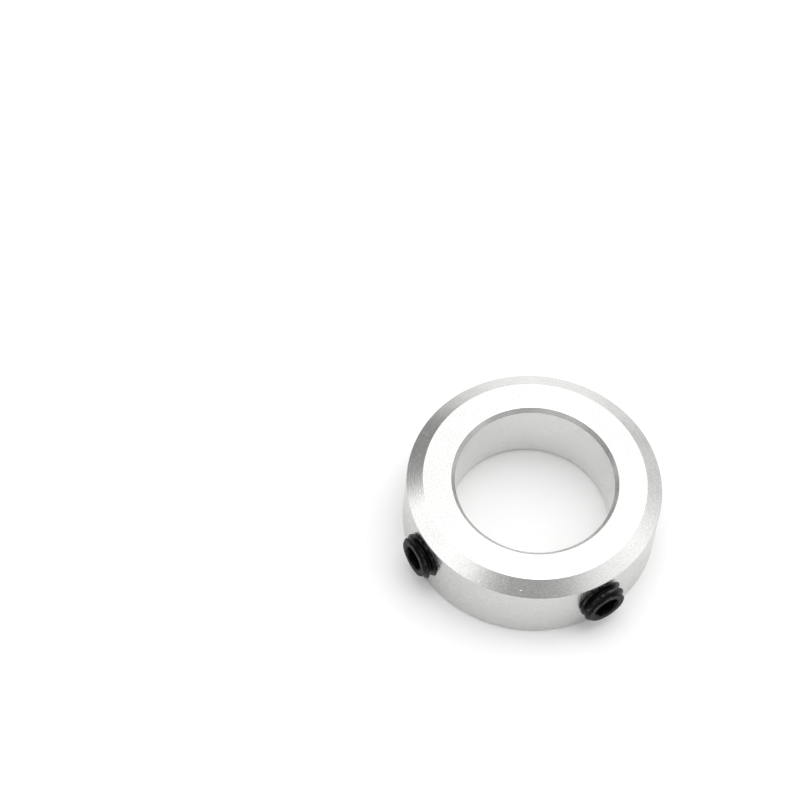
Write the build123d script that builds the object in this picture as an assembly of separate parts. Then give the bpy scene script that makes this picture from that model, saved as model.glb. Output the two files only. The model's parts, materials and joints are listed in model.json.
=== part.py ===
from build123d import *

import math
import os

# Set-screw shaft collar: a turned ring that two cup-point screws, at right angles, lock onto a shaft.
# Millimetres. Origin: centre of the bore at mid-width. +Z runs along the bore, towards the face with
# the wide chamfer. Screw 1 points outwards along -X and screw 2 along -Y.

# Ring
BORE_RADIUS = 10.0
OUTER_RADIUS = 16.0
WIDTH = 10.0
WIDE_CHAMFER_RADIAL = 2.0
WIDE_CHAMFER_AXIAL = 1.3
BORE_CHAMFER = 0.5
BACK_CHAMFER = 0.4
EDGE_BREAK = 0.08

# M6 x 1 thread, 60 degrees between the flanks
THREAD_RADIUS = 3.0
PITCH = 1.0
FLANK_SLOPE = math.tan(math.radians(30))
PITCH_RADIUS = THREAD_RADIUS - 0.375 * PITCH * math.cos(math.radians(30))
HOLE_CREST_RADIUS = 2.50
HOLE_ROOT_RADIUS = 3.04
SCREW_CREST_RADIUS = 2.94
SCREW_ROOT_RADIUS = 2.40
FLANK_PLAY = 0.02
HOLE_MOUTH_RADIUS = 3.12

# Cup-point set screw with a hexagon socket
SCREW_LENGTH = 6.0
SOCKET_ACROSS_FLATS = 3.0
SOCKET_DEPTH = 2.6
SOCKET_MOUTH_RADIUS = 1.8
END_CHAMFER = 0.5
POINT_LENGTH = 1.0
CUP_RADIUS = 1.5
CUP_RIM_WIDTH = 0.08
DRILL_TIP_HALF_ANGLE = 60

# Each screw: the way it points, how far its socket end stands out of the ring when backed off, and the
# angle by which its hole's thread starts round from +Z
SCREWS = {
    "set_screw_1": ((-1, 0, 0), 1.4, -36),
    "set_screw_2": ((0, -1, 0), 1.6, 36),
}

CUT_MARGIN = 1.0
RIDGE_ROOTING = 0.05


def hole_place(direction, thread_start):
    """Where one radial hole's own frame lies: its Z axis runs outwards along the hole."""
    return Plane(origin=(0, 0, 0), x_dir=(0, 0, 1), z_dir=direction).location * Rot(0, 0, thread_start)


def turned(outline):
    """A solid of revolution about +Z from (radius, height) points."""
    points = [(radius, 0, height) for radius, height in outline]
    return revolve(Face(Wire.make_polygon(points)), Axis.Z)


def helical_ridge(root_radius, crest_radius, widening, start, turns):
    """A trapezoidal ridge wound right-handed about +Z, starting on the X axis side at height start."""
    corners = []
    for radius, side in ((root_radius, -1), (crest_radius, -1), (crest_radius, 1), (root_radius, 1)):
        half_width = PITCH / 4 + (PITCH_RADIUS - radius) * FLANK_SLOPE + widening
        corners.append((radius, start + side * half_width))
    helices = [Helix(PITCH, turns * PITCH, radius, center=(0, 0, height)) for radius, height in corners]
    faces = [Face.make_surface_from_curves(helices[i - 1], helices[i]) for i in range(4)]
    for end in (0, 1):
        faces.append(Face(Wire.make_polygon([helix @ end for helix in helices])))
    return Solid(Shell(faces))


def threaded_rod(root_radius, crest_radius, widening, first_turn, turns):
    """A core with a helical ridge. The ridge crosses the X axis side at whole multiples of the pitch."""
    start = first_turn * PITCH
    core = Cylinder(root_radius, (turns + 2) * PITCH, align=(Align.CENTER, Align.CENTER, Align.MIN))
    core = Pos(0, 0, start - PITCH) * core
    return core + helical_ridge(root_radius - RIDGE_ROOTING, crest_radius, widening, start, turns)


def ring_blank():
    """The turned ring, before its holes: sharp corners are broken by a small radius."""
    half = WIDTH / 2
    outline = [
        (BORE_RADIUS + BORE_CHAMFER, -half),
        (OUTER_RADIUS - BACK_CHAMFER, -half),
        (OUTER_RADIUS, -half + BACK_CHAMFER),
        (OUTER_RADIUS, half - WIDE_CHAMFER_AXIAL),
        (OUTER_RADIUS - WIDE_CHAMFER_RADIAL, half),
        (BORE_RADIUS + BORE_CHAMFER, half),
        (BORE_RADIUS, half - BORE_CHAMFER),
        (BORE_RADIUS, -half + BORE_CHAMFER),
    ]
    section = Face(Wire.make_polygon([(radius, 0, height) for radius, height in outline]))
    section = section.fillet_2d(EDGE_BREAK, section.vertices())
    return revolve(section, Axis.Z)


def tapped_hole():
    """The metal that drilling, countersinking and tapping one hole takes out, along +Z."""
    first_turn = math.floor((BORE_RADIUS - CUT_MARGIN) / PITCH)
    turns = math.ceil((OUTER_RADIUS + CUT_MARGIN) / PITCH) - first_turn
    thread = threaded_rod(HOLE_CREST_RADIUS, HOLE_ROOT_RADIUS, FLANK_PLAY, first_turn, turns)
    depth = HOLE_MOUTH_RADIUS - HOLE_CREST_RADIUS
    mouth = turned([
        (0, OUTER_RADIUS - depth),
        (HOLE_CREST_RADIUS, OUTER_RADIUS - depth),
        (HOLE_MOUTH_RADIUS, OUTER_RADIUS),
        (HOLE_MOUTH_RADIUS + CUT_MARGIN, OUTER_RADIUS + CUT_MARGIN),
        (0, OUTER_RADIUS + CUT_MARGIN),
    ])
    return thread + mouth


def make_ring():
    ring = ring_blank()
    hole = tapped_hole()
    for direction, _, thread_start in SCREWS.values():
        ring = ring - hole_place(direction, thread_start) * hole
    return ring


def socket():
    """The hexagon socket, cut from height zero down, with a drilled bottom and a chamfered mouth."""
    hexagon = RegularPolygon(SOCKET_ACROSS_FLATS / 2, 6, major_radius=False)
    across = extrude(hexagon, -SOCKET_DEPTH)
    drill_depth = SOCKET_ACROSS_FLATS / 2 / math.tan(math.radians(DRILL_TIP_HALF_ANGLE))
    drilled = turned([
        (0, 0),
        (SOCKET_ACROSS_FLATS / 2, 0),
        (SOCKET_ACROSS_FLATS / 2, -SOCKET_DEPTH),
        (0, -SOCKET_DEPTH - drill_depth),
    ])
    mouth = turned([(0, 0), (SOCKET_MOUTH_RADIUS, 0), (0, -SOCKET_MOUTH_RADIUS)])
    return across + drilled + mouth


def make_screw_body(outer_end):
    """The threaded length of a set screw, with its socket end at the height outer_end."""
    inner_end = outer_end - SCREW_LENGTH + POINT_LENGTH
    first_turn = math.floor(inner_end / PITCH) - 1
    turns = math.ceil(outer_end / PITCH) + 1 - first_turn
    thread = threaded_rod(SCREW_ROOT_RADIUS, SCREW_CREST_RADIUS, -FLANK_PLAY, first_turn, turns)
    lead_in = SCREW_CREST_RADIUS - SCREW_ROOT_RADIUS
    envelope = turned([
        (0, inner_end),
        (SCREW_ROOT_RADIUS, inner_end),
        (SCREW_CREST_RADIUS + CUT_MARGIN, inner_end + lead_in + CUT_MARGIN),
        (SCREW_CREST_RADIUS + CUT_MARGIN, outer_end - END_CHAMFER - CUT_MARGIN),
        (SCREW_CREST_RADIUS - END_CHAMFER, outer_end),
        (0, outer_end),
    ])
    return (thread & envelope) - Pos(0, 0, outer_end) * socket()


def make_screw_point(outer_end):
    """The unthreaded cup point of a set screw, below the threaded length that ends at outer_end."""
    tip = outer_end - SCREW_LENGTH
    rim_radius = CUP_RADIUS + CUP_RIM_WIDTH
    cup_depth = CUP_RADIUS / math.tan(math.radians(DRILL_TIP_HALF_ANGLE))
    return turned([
        (0, tip + cup_depth),
        (CUP_RADIUS, tip),
        (rim_radius, tip),
        (SCREW_ROOT_RADIUS, tip + SCREW_ROOT_RADIUS - rim_radius),
        (SCREW_ROOT_RADIUS, tip + POINT_LENGTH),
        (0, tip + POINT_LENGTH),
    ])


def write_node(shape, name):
    export_step(shape, f"parts/{name}.step")


os.makedirs("parts", exist_ok=True)
write_node(make_ring(), "ring")
for screw_name, (outward, stand_out, start_angle) in SCREWS.items():
    place = hole_place(outward, start_angle)
    socket_end = OUTER_RADIUS + stand_out
    write_node(place * make_screw_body(socket_end), screw_name)
    write_node(place * make_screw_point(socket_end), f"{screw_name}_point")
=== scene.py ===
import json
import math

import bmesh
import bpy
import numpy as np
from mathutils import Matrix, Vector


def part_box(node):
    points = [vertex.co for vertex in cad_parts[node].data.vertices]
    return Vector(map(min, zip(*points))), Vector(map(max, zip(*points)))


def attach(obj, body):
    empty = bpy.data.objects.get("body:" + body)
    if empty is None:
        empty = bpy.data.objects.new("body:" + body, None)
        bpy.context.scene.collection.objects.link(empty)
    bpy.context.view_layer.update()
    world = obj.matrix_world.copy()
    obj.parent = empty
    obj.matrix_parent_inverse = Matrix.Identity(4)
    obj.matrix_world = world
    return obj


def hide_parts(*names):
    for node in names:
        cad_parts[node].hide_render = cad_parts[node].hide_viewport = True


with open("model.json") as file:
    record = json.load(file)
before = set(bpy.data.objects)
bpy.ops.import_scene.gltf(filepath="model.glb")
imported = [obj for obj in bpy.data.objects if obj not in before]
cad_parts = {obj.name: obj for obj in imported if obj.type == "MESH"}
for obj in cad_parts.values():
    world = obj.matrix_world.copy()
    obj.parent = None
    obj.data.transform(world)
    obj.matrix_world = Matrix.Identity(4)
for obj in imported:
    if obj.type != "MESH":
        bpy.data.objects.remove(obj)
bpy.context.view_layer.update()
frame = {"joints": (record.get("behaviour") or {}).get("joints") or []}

# Lengths are in millimetres in the row frame, where +Z runs along the bore, until a mesh is made in
# metres.
MM = 0.001
TURN = 2 * math.pi

# Ring
BORE_RADIUS = 10.0
OUTER_RADIUS = 16.0
HALF_WIDTH = 5.0
WIDE_CHAMFER_RADIAL = 2.0
WIDE_CHAMFER_AXIAL = 1.3
BORE_CHAMFER = 0.5
BACK_CHAMFER = 0.4
EDGE_BREAK = 0.08
RING_COLUMNS = 288
WALL_ROWS = 20

# M6 x 1 thread
PITCH = 1.0
FLANK_SLOPE = math.tan(math.radians(30))
PITCH_RADIUS = 3.0 - 0.375 * PITCH * math.cos(math.radians(30))
HOLE_CREST_RADIUS = 2.50
HOLE_ROOT_RADIUS = 3.04
HOLE_MOUTH_RADIUS = 3.12
SCREW_CREST_RADIUS = 2.94
SCREW_ROOT_RADIUS = 2.40
FLANK_PLAY = 0.02
THREAD_ROUNDING = 0.045
THREAD_COLUMNS = 72
# A corner of a thread's grid closer than this to an end loop joins it
MERGE = 0.012
HALVINGS = 40
# Faces that meet at less than this angle share a smooth normal
CREASE = math.radians(50)

# Set screws
SCREW_LENGTH = 6.0
POINT_LENGTH = 1.0
SOCKET_ACROSS_FLATS = 3.0
SOCKET_DEPTH = 2.6
SOCKET_MOUTH_RADIUS = 1.8
END_CHAMFER = 0.5
END_ROUNDING = 0.05
CUP_RADIUS = 1.5
CUP_RIM_WIDTH = 0.08
CUP_ROUNDING = 0.03
# The two parts of a screw meet here without touching, so that one can turn on the other
SEAM_GAP = 0.004
DRILL_TIP_HALF_ANGLE = math.radians(60)
THREAD_STARTS = {"set_screw_1": math.radians(-36), "set_screw_2": math.radians(36)}
# How many of a wall's columns lie each side of a hole, inside the rectangle that its mouth is joined to
HOLE_HALF_COLUMNS_OUTSIDE = 13
HOLE_HALF_COLUMNS_IN_BORE = 20
# Where the loops between a hole's mouth and that rectangle lie, as shares of the way
JOIN_SHARES = (0.3, 0.65)


class Surface:
    """The points and faces of one piece. A patch is a smooth region, and patches meet at crisp edges."""

    def __init__(self):
        self.points = []
        self.faces = []
        self.face_patches = []
        self.patches = []

    def patch(self, material, normal=None):
        """A new patch in that material. normal gives the exact normals at an array of its points."""
        self.patches.append((material, normal))
        return len(self.patches) - 1

    def point(self, position):
        self.points.append(tuple(position))
        return len(self.points) - 1

    def loop(self, positions):
        return [self.point(p) for p in positions]

    def face(self, patch, *corners):
        """A face through these points, without the ones that repeat. Two points or fewer make no face."""
        kept = [c for i, c in enumerate(corners) if c != corners[i - 1]]
        if len(set(kept)) == len(kept) and len(kept) > 2:
            self.faces.append(kept)
            self.face_patches.append(patch)

    def band(self, patch, low, high):
        """Quads between two closed loops of as many points."""
        for i in range(len(low)):
            self.face(patch, low[i - 1], low[i], high[i], high[i - 1])

    def fan(self, patch, loop, centre):
        for i in range(len(loop)):
            self.face(patch, loop[i - 1], loop[i], centre)

    def zipper(self, patch, loop_a, angles_a, loop_b, angles_b):
        """Triangles between two closed loops round one centre, which may differ in how many points."""
        first = min(range(len(loop_b)), key=lambda j: abs(wrapped(angles_b[j] - angles_a[0])))
        loop_b = loop_b[first:] + loop_b[:first]
        angles_b = angles_b[first:] + angles_b[:first]
        turned_a = unwound(angles_a, angles_a[0])
        turned_b = unwound(angles_b, angles_a[0] + wrapped(angles_b[0] - angles_a[0]))
        i = j = 0
        while i < len(loop_a) or j < len(loop_b):
            a, b = loop_a[i % len(loop_a)], loop_b[j % len(loop_b)]
            step_a = i < len(loop_a) and (j >= len(loop_b) or turned_a[i + 1] <= turned_b[j + 1])
            if step_a:
                self.face(patch, a, loop_a[(i + 1) % len(loop_a)], b)
                i += 1
            else:
                self.face(patch, a, loop_b[(j + 1) % len(loop_b)], b)
                j += 1

    def build(self, name, materials):
        """The finished object, with outward faces and a normal at each face corner."""
        mesh = bpy.data.meshes.new(name)
        mesh.from_pydata((np.array(self.points) * MM).tolist(), [], self.faces)
        patch_layer = mesh.attributes.new("patch", "INT", "FACE")
        patch_layer.data.foreach_set("value", np.array(self.face_patches, np.int32))
        mesh.update()
        work = bmesh.new()
        work.from_mesh(mesh)
        bmesh.ops.recalc_face_normals(work, faces=work.faces)
        work.to_mesh(mesh)
        work.free()
        names = sorted({material for material, _ in self.patches})
        for material in names:
            mesh.materials.append(materials[material])
        face_patch = np.empty(len(mesh.polygons), np.int32)
        mesh.attributes["patch"].data.foreach_get("value", face_patch)
        slots = np.array([names.index(material) for material, _ in self.patches])
        mesh.polygons.foreach_set("material_index", slots[face_patch].astype(np.int32))
        mesh.shade_smooth()
        mesh.normals_split_custom_set(self.corner_normals(mesh, face_patch).tolist())
        mesh.attributes.remove(mesh.attributes["patch"])
        mesh.update()
        piece = bpy.data.objects.new(name, mesh)
        bpy.context.scene.collection.objects.link(piece)
        return piece

    def corner_normals(self, mesh, face_patch):
        """Each corner's normal: the patch's own formula, or else the mean of the patch's faces at that
        point that lie at less than a crease's angle to the corner's own face."""
        corners = np.empty(len(mesh.loops), np.int64)
        mesh.loops.foreach_get("vertex_index", corners)
        sizes = np.empty(len(mesh.polygons), np.int64)
        mesh.polygons.foreach_get("loop_total", sizes)
        owner = np.repeat(np.arange(len(sizes)), sizes)
        flat = np.array([p.normal for p in mesh.polygons])[owner]
        weights = flat * np.array([p.area for p in mesh.polygons])[owner, None]
        meeting = face_patch[owner] * len(self.points) + corners
        order = np.argsort(meeting, kind="stable")
        normals = weights.copy()
        for step in range(1, len(order)):
            a, b = order[:-step], order[step:]
            same = meeting[a] == meeting[b]
            if not same.any():
                break
            near = same & ((flat[a] * flat[b]).sum(axis=1) > math.cos(CREASE))
            np.add.at(normals, a[near], weights[b[near]])
            np.add.at(normals, b[near], weights[a[near]])
        points = np.array(self.points)[corners]
        for index, (_, formula) in enumerate(self.patches):
            mine = face_patch[owner] == index
            if formula and mine.any():
                normals[mine] = formula(points[mine])
        return normals / np.maximum(np.linalg.norm(normals, axis=1, keepdims=True), 1e-12)


def wrapped(angle):
    """The same angle, from minus a half turn to a half turn."""
    return (angle + math.pi) % TURN - math.pi


def unwound(angles, start):
    """The angles of a closed loop as a rising list from start, with one more for the way back."""
    out = [start]
    for i in range(len(angles)):
        out.append(out[-1] + wrapped(angles[(i + 1) % len(angles)] - angles[i]))
    return out


def unit(vector):
    return np.array(vector, float) / np.linalg.norm(vector)


def rounded_outline(outline, radius, steps):
    """For each corner of a closed convex outline of (radius, height) points, the arc that rounds it."""
    arcs = []
    for i, corner in enumerate(outline):
        corner = np.array(corner)
        into = unit(corner - outline[i - 1])
        out = unit(np.array(outline[(i + 1) % len(outline)]) - corner)
        bend = math.atan2(into[0] * out[1] - into[1] * out[0], into @ out)
        start = corner - into * radius * math.tan(bend / 2)
        side = np.array([into[1], -into[0]])
        centre = start - side * radius
        arc = []
        for k in range(steps + 1):
            a = bend * k / steps
            normal = np.array([side[0] * math.cos(a) - side[1] * math.sin(a),
                               side[0] * math.sin(a) + side[1] * math.cos(a)])
            arc.append(centre + normal * radius)
        arcs.append((arc, centre))
    return arcs


class Hole:
    """One radial hole's axes: `out` along it, `x` and `y` across it. Its thread starts at angle `start`."""

    def __init__(self, screw):
        joint = next(j for j in frame["joints"] if j["child"] == screw)
        self.out = unit(joint["axis"])
        self.x = np.array([0.0, 0.0, 1.0])
        self.y = np.cross(self.out, self.x)
        self.start = THREAD_STARTS[screw]
        corners = np.array([list(c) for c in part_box(screw)]) / MM
        self.screw_end = float(np.abs(corners @ self.out).max())

    def place(self, radius, angle, along):
        across = self.x * radius * math.cos(angle) + self.y * radius * math.sin(angle)
        return across + self.out * along

    def angles(self):
        """The angles of a thread's columns, measured from x."""
        return [self.start + TURN * i / THREAD_COLUMNS for i in range(THREAD_COLUMNS)]


def thread_profile(inner, outer, play):
    """(along, radius) over one pitch, with the four corners of the trapezoid rounded."""
    def half_width(radius):
        return PITCH / 4 + (PITCH_RADIUS - radius) * FLANK_SLOPE + play
    crest = np.array([half_width(outer), outer])
    root = np.array([half_width(inner), inner])
    flank = unit(root - crest)
    along = np.array([1.0, 0.0])
    side = [np.array([0.0, outer])]
    side += bent(crest - along * THREAD_ROUNDING, crest, crest + flank * THREAD_ROUNDING)
    first, last = crest + flank * THREAD_ROUNDING, root - flank * THREAD_ROUNDING
    side += [first + (last - first) * k / 4 for k in (1, 2, 3)]
    side += bent(last, root, root + along * THREAD_ROUNDING)
    back = [np.array([-s, r]) for s, r in side[:0:-1]]
    return [np.array([-PITCH / 2, inner])] + back + side


def bent(a, corner, b):
    """Four points of the curve that rounds a corner from a to b."""
    return [a * (1 - t) ** 2 + corner * 2 * t * (1 - t) + b * t * t for t in (0, 1 / 3, 2 / 3, 1)]


def thread_radius(profile, phase):
    """The radius of a thread at a distance along it, by its profile."""
    s = (phase + PITCH / 2) % PITCH - PITCH / 2
    stations = [p[0] for p in profile] + [PITCH / 2]
    radii = [p[1] for p in profile] + [profile[0][1]]
    return float(np.interp(s, stations, radii))


def threaded_tube(surface, patch, hole, profile, shape, low_end, high_end):
    """A thread's surface between two closed end loops, which it returns. Its rows follow the helix.
    shape(radius, along) trims the thread's radius. low_end and high_end give how far along a column starts
    and stops, from its radius function and the sine of its angle."""
    columns, rows = THREAD_COLUMNS, len(profile)
    angles = hole.angles()

    def radius_at(i, along):
        return shape(thread_radius(profile, along - PITCH * i / columns), along)

    spans = []
    for i in range(columns):
        lift = math.sin(angles[i])
        spans.append([end(lambda at: radius_at(i, at), lift) for end in (low_end, high_end)])
    ends = [surface.loop(hole.place(radius_at(i, spans[i][k]), angles[i], spans[i][k])
                         for i in range(columns)) for k in (0, 1)]
    made = {}

    def corner(row, i):
        if i == columns:
            return corner(row + rows, 0)
        turn, station = divmod(row, rows)
        along = turn * PITCH + profile[station][0] + PITCH * i / columns
        if along <= spans[i][0] + MERGE:
            return ends[0][i]
        if along >= spans[i][1] - MERGE:
            return ends[1][i]
        if (row, i) not in made:
            made[row, i] = surface.point(hole.place(radius_at(i, along), angles[i], along))
        return made[row, i]

    first = (math.floor(min(s[0] for s in spans)) - 2) * rows
    last = (math.ceil(max(s[1] for s in spans)) + 2) * rows
    for row in range(first, last):
        for i in range(columns):
            surface.face(patch, corner(row, i), corner(row, i + 1),
                         corner(row + 1, i + 1), corner(row + 1, i))
    return ends


def on_cylinder(cylinder_radius):
    """Where a hole's surface meets a cylinder round the ring's axis, found by halving."""
    def end(radius_at, lift):
        low, high = cylinder_radius * 0.9, cylinder_radius * 1.01
        for _ in range(HALVINGS):
            middle = (low + high) / 2
            if middle ** 2 + (radius_at(middle) * lift) ** 2 < cylinder_radius ** 2:
                low = middle
            else:
                high = middle
        return (low + high) / 2
    return end


def at_height(height):
    return lambda radius_at, lift: height


def radial(sign):
    """Normals of a wall round the ring's axis."""
    return lambda points: sign * points * np.array([1.0, 1.0, 0.0])


def sloped(outward, upward):
    """Normals of a cone round the ring's axis."""
    def normals(points):
        flat = points * np.array([1.0, 1.0, 0.0])
        flat /= np.maximum(np.linalg.norm(flat, axis=1, keepdims=True), 1e-12)
        return flat * outward + np.array([0.0, 0.0, upward])
    return normals


def rounded_at(centre):
    """Normals of an edge's rounding, from its centre (radius, height)."""
    def normals(points):
        away = np.linalg.norm(points[:, :2], axis=1, keepdims=True)
        return np.hstack([points[:, :2] / away * (away - centre[0]), points[:, 2:] - centre[1]])
    return normals


def circle(radius, height):
    angles = [TURN * i / RING_COLUMNS for i in range(RING_COLUMNS)]
    return [(radius * math.cos(a), radius * math.sin(a), height) for a in angles]


def pierced_wall(surface, patch, radius, low, high, low_height, high_height, holes, half_columns):
    """A wall round the ring's axis between two loops, with a hole's end loop let into it at each hole."""
    heights = [low_height + (high_height - low_height) * k / WALL_ROWS for k in range(WALL_ROWS + 1)]
    rows = [low] + [[None] * RING_COLUMNS for _ in heights[1:-1]] + [high]
    spans = []
    for hole, _ in holes:
        middle = round(math.atan2(hole.out[1], hole.out[0]) / TURN * RING_COLUMNS)
        spans.append((middle - half_columns, middle + half_columns))

    def corner(row, column):
        column %= RING_COLUMNS
        if rows[row][column] is None:
            a = TURN * column / RING_COLUMNS
            rows[row][column] = surface.point((radius * math.cos(a), radius * math.sin(a), heights[row]))
        return rows[row][column]

    inside = {column % RING_COLUMNS for start, stop in spans for column in range(start, stop)}
    for column in range(RING_COLUMNS):
        if column not in inside:
            for row in range(WALL_ROWS):
                surface.face(patch, corner(row, column), corner(row, column + 1),
                             corner(row + 1, column + 1), corner(row + 1, column))
    for (hole, mouth), (start, stop) in zip(holes, spans):
        rim = [corner(0, c) for c in range(start, stop)]
        rim += [corner(r, stop) for r in range(WALL_ROWS)]
        rim += [corner(WALL_ROWS, c) for c in range(stop, start, -1)]
        rim += [corner(r, start) for r in range(WALL_ROWS, 0, -1)]
        half_span = TURN * half_columns / RING_COLUMNS * radius
        join_hole(surface, patch, radius, hole, mouth, rim, (half_span, low_height, high_height))


def join_hole(surface, patch, radius, hole, mouth, rim, opening):
    """Fills a wall between a hole's end loop and the rectangle of wall points round it."""
    half_span, low, high = opening

    def flat(index):
        """A point of the wall unrolled: (distance round the wall, height)."""
        p = np.array(surface.points[index])
        return radius * math.atan2(p @ hole.y, p @ hole.out), p @ hole.x

    inner = [flat(i) for i in mouth]
    loop = mouth
    angles = [math.atan2(u, z) for u, z in inner]
    for share in JOIN_SHARES:
        ring = []
        for u, z in inner:
            reach = min(half_span / max(abs(u), 1e-9), (high if z > 0 else -low) / max(abs(z), 1e-9))
            scale = 1 + (reach - 1) * share
            a = u * scale / radius
            on_wall = hole.out * radius * math.cos(a) + hole.y * radius * math.sin(a)
            ring.append(on_wall + hole.x * z * scale)
        ring = surface.loop(ring)
        surface.band(patch, loop, ring)
        loop = ring
    rim_angles = [math.atan2(*flat(i)) for i in rim]
    if wrapped(rim_angles[1] - rim_angles[0]) < 0:
        rim, rim_angles = rim[::-1], rim_angles[::-1]
    surface.zipper(patch, loop, angles, rim, rim_angles)


def countersunk(radius, along):
    """A tapped hole's radius, opened out by the cone at its mouth."""
    return max(radius, HOLE_MOUTH_RADIUS - (OUTER_RADIUS - along))


def ring_surface():
    """The ring: turned faces round the bore, two walls pierced by the holes, and the tapped holes."""
    surface = Surface()
    outline = [
        (OUTER_RADIUS, -HALF_WIDTH + BACK_CHAMFER),
        (OUTER_RADIUS, HALF_WIDTH - WIDE_CHAMFER_AXIAL),
        (OUTER_RADIUS - WIDE_CHAMFER_RADIAL, HALF_WIDTH),
        (BORE_RADIUS + BORE_CHAMFER, HALF_WIDTH),
        (BORE_RADIUS, HALF_WIDTH - BORE_CHAMFER),
        (BORE_RADIUS, -HALF_WIDTH + BORE_CHAMFER),
        (BORE_RADIUS + BORE_CHAMFER, -HALF_WIDTH),
        (OUTER_RADIUS - BACK_CHAMFER, -HALF_WIDTH),
    ]
    # The material from each corner to the next. The two walls are made below, with their holes.
    materials = [None, "turned_chamfer", "turned_face", "turned_small_chamfer",
                 None, "turned_small_chamfer", "turned_face", "turned_small_chamfer"]
    arcs = rounded_outline(outline, EDGE_BREAK, 3)
    loops = []
    for arc, centre in arcs:
        rings = [surface.loop(circle(*station)) for station in arc]
        rounding = surface.patch("turned_edge", rounded_at(centre))
        for low, high in zip(rings, rings[1:]):
            surface.band(rounding, low, high)
        loops.append(rings)
    for i, material in enumerate(materials):
        if material:
            run = arcs[(i + 1) % len(arcs)][0][0] - arcs[i][0][-1]
            face = surface.patch(material, sloped(run[1], -run[0]))
            surface.band(face, loops[i][-1], loops[(i + 1) % len(arcs)][0])
    profile = thread_profile(HOLE_CREST_RADIUS, HOLE_ROOT_RADIUS, FLANK_PLAY)
    mouths, breakouts = [], []
    for screw in THREAD_STARTS:
        hole = Hole(screw)
        cut = surface.patch("cut_thread")
        inner, outer = threaded_tube(surface, cut, hole, profile, countersunk,
                                     on_cylinder(BORE_RADIUS), on_cylinder(OUTER_RADIUS))
        mouths.append((hole, outer))
        breakouts.append((hole, inner))
    outside = surface.patch("turned_wall", radial(1))
    pierced_wall(surface, outside, OUTER_RADIUS, loops[0][-1], loops[1][0],
                 arcs[0][0][-1][1], arcs[1][0][0][1], mouths, HOLE_HALF_COLUMNS_OUTSIDE)
    bore = surface.patch("bored_wall", radial(-1))
    pierced_wall(surface, bore, BORE_RADIUS, loops[5][0], loops[4][-1],
                 arcs[5][0][0][1], arcs[4][0][-1][1], breakouts, HOLE_HALF_COLUMNS_IN_BORE)
    return surface


def along_axis(hole, sign):
    """Normals of a flat face across a screw."""
    return lambda points: np.tile(hole.out * sign, (len(points), 1))


def turned_loops(surface, hole, stations):
    """Loops round a screw's axis at (radius, along) stations."""
    return [surface.loop(hole.place(radius, a, along) for a in hole.angles()) for radius, along in stations]


def hexagon_radius(angle):
    """The distance from a screw's axis to its socket's wall. A corner is at angle zero."""
    sixth = TURN / 6
    return SOCKET_ACROSS_FLATS / 2 / math.cos(angle % sixth - sixth / 2)


def screw_body_surface(hole):
    """The threaded length of a set screw, with its chamfered socket end."""
    surface = Surface()
    end = hole.screw_end
    split = end - SCREW_LENGTH + POINT_LENGTH + SEAM_GAP / 2
    face_radius = SCREW_CREST_RADIUS - END_CHAMFER

    def trimmed(radius, along):
        return min(radius, SCREW_ROOT_RADIUS + along - split, face_radius + end - along)

    profile = thread_profile(SCREW_ROOT_RADIUS, SCREW_CREST_RADIUS, -FLANK_PLAY)
    thread = surface.patch("rolled_thread")
    low, high = threaded_tube(surface, thread, hole, profile, trimmed,
                              at_height(split), at_height(end - END_ROUNDING))
    rim = surface.patch("screw_edge")
    angles = hole.angles()
    reach = [np.linalg.norm(np.cross(np.array(surface.points[i]), hole.out)) for i in high]
    loop = high
    for k in (1, 2, 3):
        a = math.pi / 2 * k / 3
        inwards, down = END_ROUNDING * (1 - math.cos(a)), END_ROUNDING * (1 - math.sin(a))
        loop_next = surface.loop(hole.place(r - inwards, angle, end - down)
                                 for r, angle in zip(reach, angles))
        surface.band(rim, loop, loop_next)
        loop = loop_next
    end_face = surface.patch("screw_end", along_axis(hole, 1))
    mouth, = turned_loops(surface, hole, [(SOCKET_MOUTH_RADIUS, end)])
    surface.band(end_face, loop, mouth)
    flats = [hexagon_radius(TURN * i / THREAD_COLUMNS) for i in range(THREAD_COLUMNS)]
    top = surface.loop(hole.place(r, a, end - SOCKET_MOUTH_RADIUS + r) for r, a in zip(flats, angles))
    cone = surface.patch("screw_socket")
    surface.band(cone, mouth, top)
    bottom = surface.loop(hole.place(r, a, end - SOCKET_DEPTH) for r, a in zip(flats, angles))
    side = THREAD_COLUMNS // 6
    for k in range(6):
        wall = surface.patch("screw_socket")
        for i in range(k * side, (k + 1) * side):
            j = (i + 1) % THREAD_COLUMNS
            surface.face(wall, top[i], top[j], bottom[j], bottom[i])
    across = SOCKET_ACROSS_FLATS / 2
    shelf = surface.patch("screw_socket", along_axis(hole, 1))
    drilled = [b if abs(r - across) < 1e-6 else surface.point(hole.place(across, a, end - SOCKET_DEPTH))
               for b, r, a in zip(bottom, flats, angles)]
    surface.band(shelf, bottom, drilled)
    tip = surface.point(hole.out * (end - SOCKET_DEPTH - across / math.tan(DRILL_TIP_HALF_ANGLE)))
    surface.fan(surface.patch("screw_socket"), drilled, tip)
    flat = surface.patch("screw_end", along_axis(hole, -1))
    middle, = turned_loops(surface, hole, [(SCREW_ROOT_RADIUS / 2, split)])
    surface.band(flat, low, middle)
    surface.fan(flat, middle, surface.point(hole.out * split))
    return surface


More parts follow.
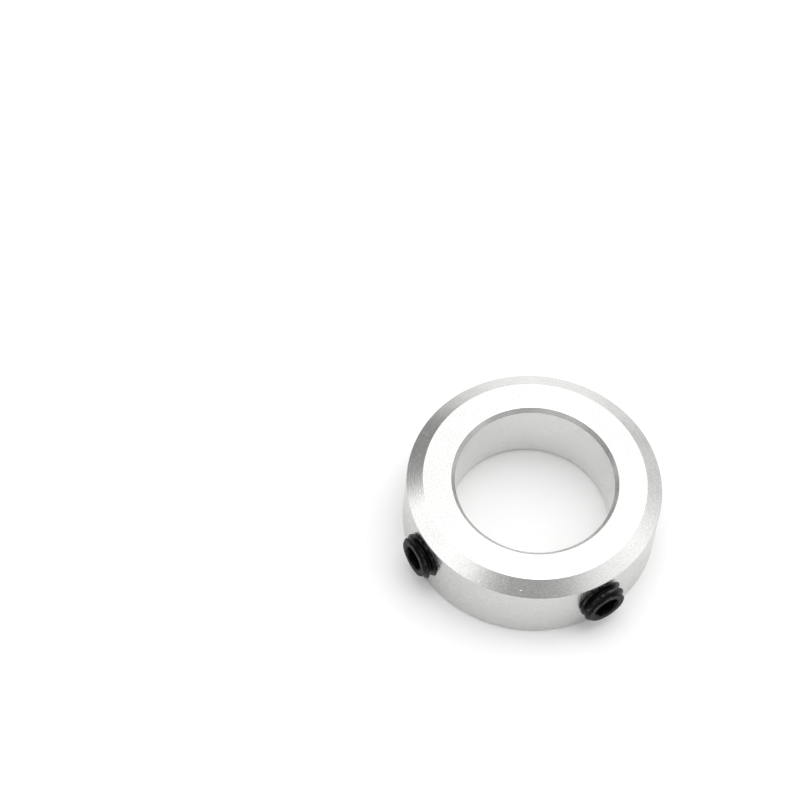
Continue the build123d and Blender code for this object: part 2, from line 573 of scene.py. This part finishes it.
def screw_point_surface(hole):
    """The plain cup point of a set screw."""
    surface = Surface()
    tip = hole.screw_end - SCREW_LENGTH
    top = tip + POINT_LENGTH - SEAM_GAP / 2
    rim = CUP_RADIUS + CUP_RIM_WIDTH
    slope_end = tip + SCREW_ROOT_RADIUS - rim
    stations = [
        (SCREW_ROOT_RADIUS / 2, top),
        (SCREW_ROOT_RADIUS, top),
        (SCREW_ROOT_RADIUS, slope_end + CUP_ROUNDING),
        (SCREW_ROOT_RADIUS - CUP_ROUNDING, slope_end - CUP_ROUNDING),
        (rim, tip),
        (CUP_RADIUS, tip),
        (CUP_RADIUS / 2, tip + CUP_RADIUS / 2 / math.tan(DRILL_TIP_HALF_ANGLE)),
    ]
    loops = turned_loops(surface, hole, stations)
    names = ["screw_end"] + ["screw_point"] * 5
    for name, low, high in zip(names, loops, loops[1:]):
        surface.band(surface.patch(name), low, high)
    surface.fan(surface.patch("screw_end"), loops[0], surface.point(hole.out * top))
    cup = surface.point(hole.out * (tip + CUP_RADIUS / math.tan(DRILL_TIP_HALF_ANGLE)))
    surface.fan(surface.patch("screw_point"), loops[-1], cup)
    return surface


# Materials

# Noises: scale per millimetre, detail and roughness
MARK_NOISE = (4.5, 4.0, 0.75)
GRAIN_NOISE = (4.0, 3.0, 0.65)
CLOUD_NOISE = (0.35, 2.0, 0.5)
PIT_NOISE = (2.4, 1.0, 0.5)
OXIDE_GRAIN_NOISE = (8.0, 3.0, 0.6)
OXIDE_PATCH_NOISE = (1.8, 4.0, 0.65)
SHEET_TONE_NOISE = (0.02, 3.0, 0.6)
SHEET_TOOTH_NOISE = (2.0, 2.0, 0.5)
# Pits are where their noise lies between these levels and above
PIT_STARTS = 0.73
PIT_FULL = 0.78
# Depths of relief in millimetres
PIT_DEPTH = 0.010
OXIDE_GRAIN_DEPTH = 0.010
OXIDE_PATCH_DEPTH = 0.012
SHEET_TOOTH_DEPTH = 0.01
# A quarter turn of the tangent, so that reflections stretch across the turning marks
ACROSS_THE_MARKS = 0.25
OXIDE_DARK = (0.0015, 0.0015, 0.0017)
OXIDE_PALE = (0.0045, 0.0045, 0.0050)
WORN_STEEL = (0.15, 0.15, 0.145)
OXIDE_SHEEN = 0.08
# How far out from where wear starts it is full, in millimetres
WEAR_REACH = 0.22
SHEET_DARK = (0.965, 0.966, 0.965)
SHEET_PALE = (0.975, 0.975, 0.973)

# The one aluminium has a tint for each face, set to how bright that face shows in this light: the lighter
# chamfers, bore and edge roundings are painted light, and the darker outer wall and tapped threads are
# painted shade
FACE_TINT = (0.785, 0.785, 0.773)
LIT_CHAMFER_TINT = (0.855, 0.855, 0.842)
LIT_SMALL_CHAMFER_TINT = (0.86, 0.86, 0.847)
SHADED_TINT = (0.645, 0.645, 0.635)
LIT_TINT = (0.80, 0.80, 0.79)
# Which way the tool moved, tint with the painted light or shade of its face, mottle, roughness, depth of
# the marks and of the grain, anisotropy
ALUMINIUM_FINISHES_AND_PAINTED_LIGHT = {
    "turned_face": ("radius", FACE_TINT, 0.09, 0.28, 0.006, 0.0055, 0.3),
    "turned_chamfer": ("slope", LIT_CHAMFER_TINT, 0.10, 0.17, 0.009, 0.0030, 0.4),
    "turned_small_chamfer": ("slope", LIT_SMALL_CHAMFER_TINT, 0.06, 0.20, 0.003, 0.003, 0.4),
    "turned_edge": ("slope", LIT_TINT, 0.05, 0.20, 0.0, 0.003, 0.0),
    "turned_wall": ("height", SHADED_TINT, 0.05, 0.30, 0.010, 0.0024, 0.4),
    "bored_wall": ("height", LIT_TINT, 0.04, 0.32, 0.010, 0.0016, 0.4),
    "cut_thread": ("slope", SHADED_TINT, 0.06, 0.28, 0.0, 0.004, 0.0),
}
# Roughness, wear, and how far from the screw's own axis wear starts
OXIDE_FINISHES = {
    "rolled_thread": (0.34, 0.55, 2.68),
    "screw_edge": (0.30, 0.75, 2.0),
    "screw_end": (0.40, 0.30, 2.20),
    "screw_socket": (0.38, 0.35, 1.62),
    "screw_point": (0.36, 0.35, 1.40),
}


def node(tree, kind, links=None, **settings):
    """A shader node. links gives its inputs, by name or number: a socket to link, or a value."""
    made = tree.nodes.new(kind)
    for name, value in settings.items():
        setattr(made, name, value)
    for key, value in (links or {}).items():
        if isinstance(value, bpy.types.NodeSocket):
            tree.links.new(value, made.inputs[key])
        else:
            made.inputs[key].default_value = value
    return made


def maths(tree, operation, *values):
    return node(tree, "ShaderNodeMath", dict(enumerate(values)), operation=operation).outputs[0]


def new_material(name):
    material = bpy.data.materials.new(name)
    material.use_nodes = True
    material.node_tree.nodes.clear()
    return material, material.node_tree


def own_place(tree):
    """Sockets for a point on a piece, in millimetres: its position, and its three coordinates."""
    position = node(tree, "ShaderNodeTexCoord").outputs["Object"]
    scaled = node(tree, "ShaderNodeVectorMath", {0: position, "Scale": 1 / MM},
                  operation="SCALE").outputs[0]
    return [scaled] + list(node(tree, "ShaderNodeSeparateXYZ", {0: scaled}).outputs)


def hypotenuse(tree, a, b):
    squares = maths(tree, "ADD", maths(tree, "MULTIPLY", a, a), maths(tree, "MULTIPLY", b, b))
    return maths(tree, "SQRT", squares)


def mix(tree, share, colour_a, colour_b):
    """A colour between two, each a socket or a list."""
    sides = [c if isinstance(c, bpy.types.NodeSocket) else list(c) + [1.0] for c in (colour_a, colour_b)]
    links = {"Factor": share, 6: sides[0], 7: sides[1]}
    return node(tree, "ShaderNodeMix", links, data_type="RGBA").outputs[2]


def noise(tree, vector, scale, detail, roughness):
    links = {"Vector": vector, "Scale": scale, "Detail": detail, "Roughness": roughness}
    return node(tree, "ShaderNodeTexNoise", links).outputs["Fac"]


def noise_along(tree, distance, scale, detail, roughness):
    """Noise that changes with one distance only."""
    links = {"W": distance, "Scale": scale, "Detail": detail, "Roughness": roughness}
    return node(tree, "ShaderNodeTexNoise", links, noise_dimensions="1D").outputs["Fac"]


def remap(tree, value, low, high, to_low, to_high):
    links = {"Value": value, "From Min": low, "From Max": high, "To Min": to_low, "To Max": to_high}
    return node(tree, "ShaderNodeMapRange", links).outputs["Result"]


def eased(tree, value, low, high, to_low, to_high):
    """remap, with a soft start and a soft end."""
    links = {"Value": value, "From Min": low, "From Max": high, "To Min": to_low, "To Max": to_high}
    return node(tree, "ShaderNodeMapRange", links, interpolation_type="SMOOTHSTEP").outputs["Result"]


def bump(tree, relief):
    """A surface normal from a relief in millimetres."""
    return node(tree, "ShaderNodeBump", {"Strength": 1.0, "Distance": MM, "Height": relief}).outputs[0]


def turned_aluminium(name, feed, tint, mottle, roughness, mark_depth, grain_depth, anisotropy):
    """Turned aluminium. feed says which way the tool moved: 'radius', 'height' or 'slope'."""
    material, tree = new_material(name)
    position, x, y, height = own_place(tree)
    away = hypotenuse(tree, x, y)
    if feed == "slope":
        travel = maths(tree, "SUBTRACT", away, height)
    else:
        travel = {"radius": away, "height": height}[feed]
    marks = noise_along(tree, travel, *MARK_NOISE)
    grain = noise(tree, position, *GRAIN_NOISE)
    cloud = noise(tree, position, *CLOUD_NOISE)
    pits = remap(tree, noise(tree, position, *PIT_NOISE), PIT_STARTS, PIT_FULL, 0.0, 1.0)
    rough = maths(tree, "ADD", remap(tree, grain, 0.3, 0.7, roughness * 0.80, roughness * 1.20),
                  remap(tree, marks, 0.3, 0.7, -0.08 * roughness, 0.08 * roughness))
    rough = maths(tree, "ADD", rough, remap(tree, cloud, 0.3, 0.7, -0.08 * roughness, 0.08 * roughness))
    # tint holds the painted light or shade of its face; the mottle and marks below vary it
    dull, clear = [c * (1 - mottle) for c in tint], [c * (1 + mottle * 0.4) for c in tint]
    grained = mix(tree, remap(tree, grain, 0.36, 0.64, 0.0, 1.0), dull, clear)
    colour = mix(tree, remap(tree, marks, 0.35, 0.65, 0.0, 0.40), grained, dull)
    relief = maths(tree, "ADD", maths(tree, "MULTIPLY", marks, mark_depth),
                   maths(tree, "MULTIPLY", grain, grain_depth))
    relief = maths(tree, "MULTIPLY_ADD", pits, -PIT_DEPTH, relief)
    shader = node(tree, "ShaderNodeBsdfPrincipled",
                  {"Base Color": colour, "Metallic": 1.0, "Roughness": rough, "Anisotropic": anisotropy,
                   "Anisotropic Rotation": ACROSS_THE_MARKS, "Normal": bump(tree, relief)})
    if anisotropy:
        tangent = node(tree, "ShaderNodeTangent", direction_type="RADIAL", axis="Z")
        tree.links.new(tangent.outputs[0], shader.inputs["Tangent"])
    node(tree, "ShaderNodeOutputMaterial", {"Surface": shader.outputs[0]})
    return material


def black_oxide(name, roughness, wear, worn_from):
    """Black oxide on steel, worn to patchy grey further than worn_from from the screw's own axis."""
    material, tree = new_material(name)
    position, x, y, z = own_place(tree)
    # A screw lies along X or along Y, so the smaller of the two is how far a point is to its side
    across = maths(tree, "MINIMUM", maths(tree, "ABSOLUTE", x), maths(tree, "ABSOLUTE", y))
    away = hypotenuse(tree, across, z)
    grain = noise(tree, position, *OXIDE_GRAIN_NOISE)
    patches = noise(tree, position, *OXIDE_PATCH_NOISE)
    high_spots = remap(tree, away, worn_from, worn_from + WEAR_REACH, 0.0, wear)
    worn = maths(tree, "MULTIPLY", high_spots, remap(tree, patches, 0.44, 0.62, 0.0, 1.0))
    oxide = mix(tree, remap(tree, grain, 0.35, 0.7, 0.0, 1.0), OXIDE_DARK, OXIDE_PALE)
    rough = remap(tree, grain, 0.3, 0.7, roughness * 0.75, roughness * 1.25)
    relief = maths(tree, "ADD", maths(tree, "MULTIPLY", grain, OXIDE_GRAIN_DEPTH),
                   maths(tree, "MULTIPLY", patches, OXIDE_PATCH_DEPTH))
    shader = node(tree, "ShaderNodeBsdfPrincipled",
                  {"Base Color": mix(tree, worn, oxide, WORN_STEEL), "Metallic": worn, "Roughness": rough,
                   "Specular IOR Level": OXIDE_SHEEN, "Normal": bump(tree, relief)})
    node(tree, "ShaderNodeOutputMaterial", {"Surface": shader.outputs[0]})
    return material


def make_materials():
    made = {name: turned_aluminium(name, *finish) for name, finish in ALUMINIUM_FINISHES_AND_PAINTED_LIGHT.items()}
    made.update({name: black_oxide(name, *finish) for name, finish in OXIDE_FINISHES.items()})
    return made


# Pieces

def add_piece(surface, name, node_name, body, materials):
    piece = surface.build(name, materials)
    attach(piece, body)
    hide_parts(node_name)
    return piece


def make_pieces():
    materials = make_materials()
    add_piece(ring_surface(), "collar_ring", "ring", "ring", materials)
    for screw in THREAD_STARTS:
        hole = Hole(screw)
        point = f"{screw}_point"
        thread = screw_body_surface(hole)
        add_piece(thread, f"{screw}_thread", screw, screw, materials)
        add_piece(screw_point_surface(hole), f"{screw}_cup", point, point, materials)


# Studio

FLOOR_HEIGHT = -5.0
CAMERA_DISTANCE = 452.6
CAMERA_AZIMUTH = math.radians(234.37)
CAMERA_ELEVATION = math.radians(58.905)
CAMERA_ROLL = math.radians(5.705)
CAMERA_LENS = 157.78
SENSOR_WIDTH = 36.0
# The floor's sheet reaches this far each way, in metres
FLOOR_REACH = 3.0
# Light from the ceiling and the horizon, and the sines of elevation between which one turns into the other
CEILING_LIGHT = 1.40
HORIZON_LIGHT = 0.50
CEILING_STARTS = 0.31
CEILING_FULL = 0.56
# The soft box overhead adds this much light between these sines of elevation
OVERHEAD_LIGHT = 2.30
OVERHEAD_STARTS = 0.92
OVERHEAD_FULL = 0.985
# How much brighter the side that the camera faces is, and how much dimmer the camera's own side
LIGHT_FROM_BEHIND = 0.15
# Soft patches: degrees round from the camera's side and up, inner and outer reach in degrees, and what the
# light is multiplied by. Below 1 they are dark cards, above 1 lamps. Each was fitted to the photo's tones.
LIGHT_PATCHES = (
    (5, 53, 2, 35, 0.30),
    (0, 27, 3, 26, 0.88),
    (38, 24, 5, 30, 0.52),
    (-38, 24, 5, 30, 0.52),
    (68, 46, 3, 28, 0.76),
    (-72, 10, 8, 34, 0.45),
    (-134, 14, 12, 32, 0.48),
    (128, 16, 10, 30, 1.25),
    (120, 62, 5, 28, 1.65),
    (172, 3, 10, 36, 0.38),
    (180, 60, 15, 45, 0.75),
)
# The point on the floor that the camera faces, which keeps the collar right of the picture's middle
CAMERA_AIM = (-5.305, 23.038, FLOOR_HEIGHT)


def make_camera():
    data = bpy.data.cameras.new("camera")
    data.lens = CAMERA_LENS
    data.sensor_width = SENSOR_WIDTH
    data.clip_start, data.clip_end = 0.01, 20.0
    camera = bpy.data.objects.new("camera", data)
    bpy.context.scene.collection.objects.link(camera)
    back = Vector((math.cos(CAMERA_ELEVATION) * math.cos(CAMERA_AZIMUTH),
                   math.cos(CAMERA_ELEVATION) * math.sin(CAMERA_AZIMUTH), math.sin(CAMERA_ELEVATION)))
    level = Vector((-math.sin(CAMERA_AZIMUTH), math.cos(CAMERA_AZIMUTH), 0.0))
    rise = back.cross(level)
    right = level * math.cos(CAMERA_ROLL) + rise * math.sin(CAMERA_ROLL)
    up = rise * math.cos(CAMERA_ROLL) - level * math.sin(CAMERA_ROLL)
    turn = Matrix((right, up, back)).transposed().to_4x4()
    place = (Vector(CAMERA_AIM) + back * CAMERA_DISTANCE) * MM
    camera.matrix_world = Matrix.Translation(place) @ turn
    bpy.context.scene.camera = camera


def make_floor():
    """A pale sheet, wide enough to fill every view."""
    mesh = bpy.data.meshes.new("floor")
    corners = ((-1, -1), (1, -1), (1, 1), (-1, 1))
    mesh.from_pydata([(x * FLOOR_REACH, y * FLOOR_REACH, FLOOR_HEIGHT * MM) for x, y in corners],
                     [], [(0, 1, 2, 3)])
    material, tree = new_material("pale_sheet")
    position = own_place(tree)[0]
    tone = mix(tree, noise(tree, position, *SHEET_TONE_NOISE), SHEET_DARK, SHEET_PALE)
    tooth = maths(tree, "MULTIPLY", noise(tree, position, *SHEET_TOOTH_NOISE), SHEET_TOOTH_DEPTH)
    shader = node(tree, "ShaderNodeBsdfPrincipled",
                  {"Base Color": tone, "Roughness": 0.9, "Normal": bump(tree, tooth)})
    node(tree, "ShaderNodeOutputMaterial", {"Surface": shader.outputs[0]})
    mesh.materials.append(material)
    floor = bpy.data.objects.new("floor", mesh)
    bpy.context.scene.collection.objects.link(floor)


def nearness(tree, direction, aim):
    """The cosine of the angle between two directions."""
    product = node(tree, "ShaderNodeVectorMath", {0: direction, 1: aim}, operation="DOT_PRODUCT")
    return product.outputs["Value"]


def make_light():
    """A studio with a bright soft ceiling over a dim horizon. The camera sees a plain pale backdrop."""
    world = bpy.data.worlds.new("studio")
    bpy.context.scene.world = world
    world.use_nodes = True
    tree = world.node_tree
    tree.nodes.clear()
    direction = node(tree, "ShaderNodeTexCoord").outputs["Generated"]
    height = node(tree, "ShaderNodeSeparateXYZ", {0: direction}).outputs[2]
    level = eased(tree, height, CEILING_STARTS, CEILING_FULL, HORIZON_LIGHT, CEILING_LIGHT)
    overhead = eased(tree, height, OVERHEAD_STARTS, OVERHEAD_FULL, 0.0, OVERHEAD_LIGHT)
    for azimuth, elevation, inner, outer, share in LIGHT_PATCHES:
        a, e = CAMERA_AZIMUTH + math.radians(azimuth), math.radians(elevation)
        aim = (math.cos(e) * math.cos(a), math.cos(e) * math.sin(a), math.sin(e))
        starts, full = math.cos(math.radians(outer)), math.cos(math.radians(inner))
        patch = eased(tree, nearness(tree, direction, aim), starts, full, 1.0, share)
        level = maths(tree, "MULTIPLY", level, patch)
    behind = (-math.cos(CAMERA_AZIMUTH), -math.sin(CAMERA_AZIMUTH), 0.0)
    side = nearness(tree, direction, behind)
    level = maths(tree, "MULTIPLY", level, maths(tree, "MULTIPLY_ADD", side, LIGHT_FROM_BEHIND, 1.0))
    level = maths(tree, "ADD", level, overhead)
    studio = node(tree, "ShaderNodeBackground", {"Color": (1.0, 1.0, 1.0, 1.0), "Strength": level})
    backdrop = node(tree, "ShaderNodeBackground", {"Color": (1.0, 1.0, 0.995, 1.0), "Strength": 1.0})
    seen = node(tree, "ShaderNodeLightPath").outputs["Is Camera Ray"]
    mixed = node(tree, "ShaderNodeMixShader", {0: seen, 1: studio.outputs[0], 2: backdrop.outputs[0]})
    node(tree, "ShaderNodeOutputWorld", {"Surface": mixed.outputs[0]})
    bpy.context.scene.view_settings.view_transform = "Standard"


make_pieces()
make_floor()
make_light()
make_camera()
